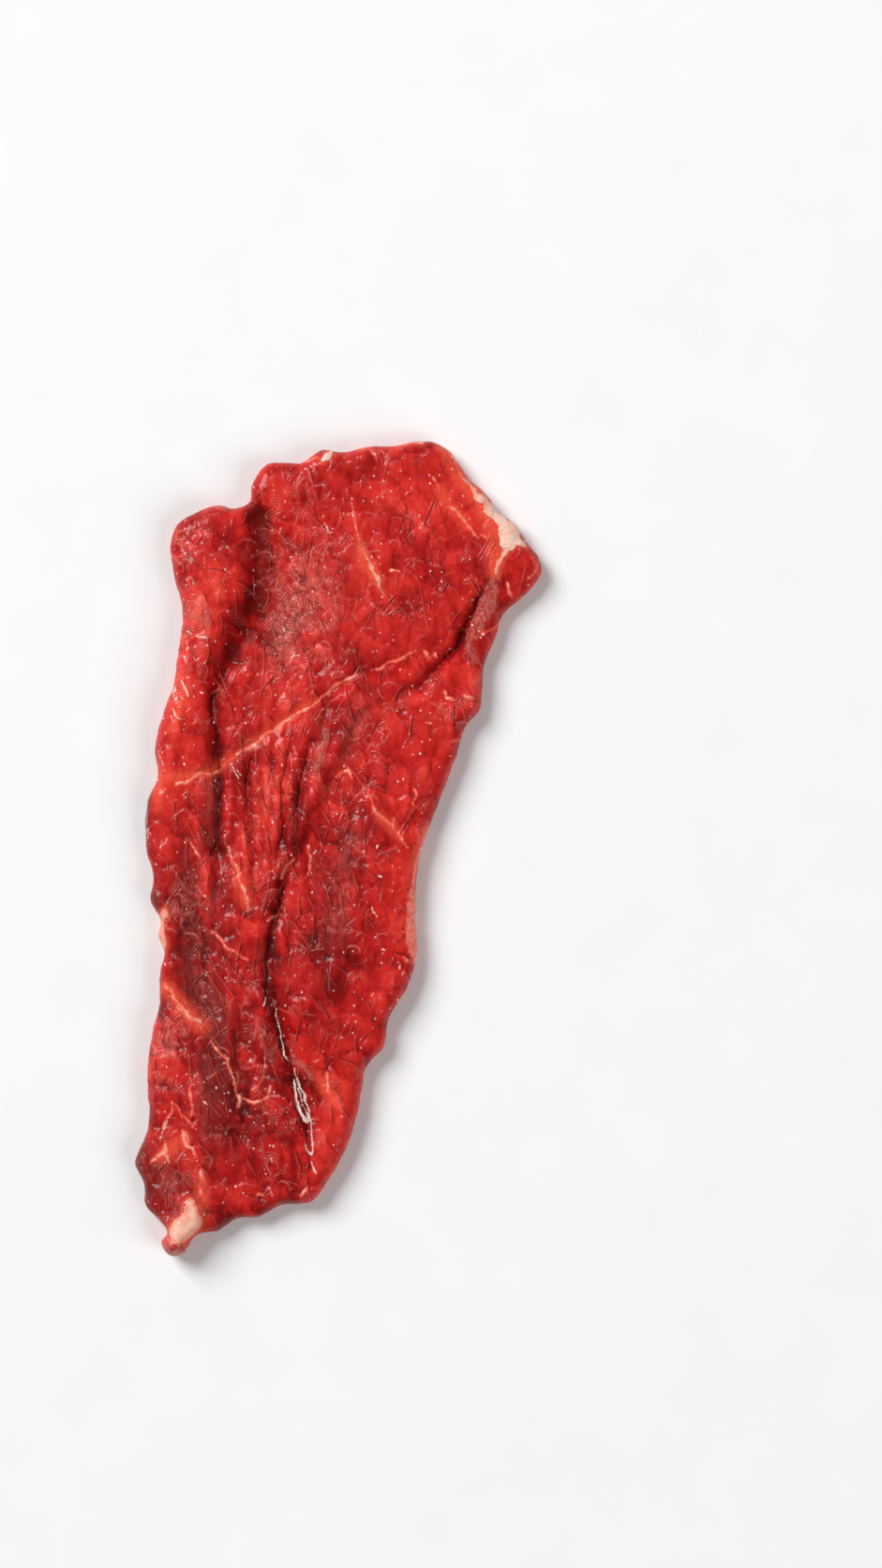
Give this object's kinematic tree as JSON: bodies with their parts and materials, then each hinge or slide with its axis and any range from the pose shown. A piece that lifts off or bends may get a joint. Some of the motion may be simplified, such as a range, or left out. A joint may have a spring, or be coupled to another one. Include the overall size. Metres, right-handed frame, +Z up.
{
  "type": "beef round steak",
  "caption": "Thin-cut raw beef round steak: one long slanting slice of several muscles with seams, folds, a fat cap at one edge and a nub of fat at a corner.",
  "frame": {"origin": "middle of the plan, on the surface the slice lies on", "axes": "+Y along the slice towards its broad far end, +X to the right seen from above, +Z up through its thickness"},
  "size_m": [0.0999, 0.1997, 0.0097],
  "materials": {
    "beef": "wet raw red beef with pale seams and cream fat"
  },
  "bodies": {
    "root": {"beef_round_steak": "beef"}
  },
  "joints": []
}
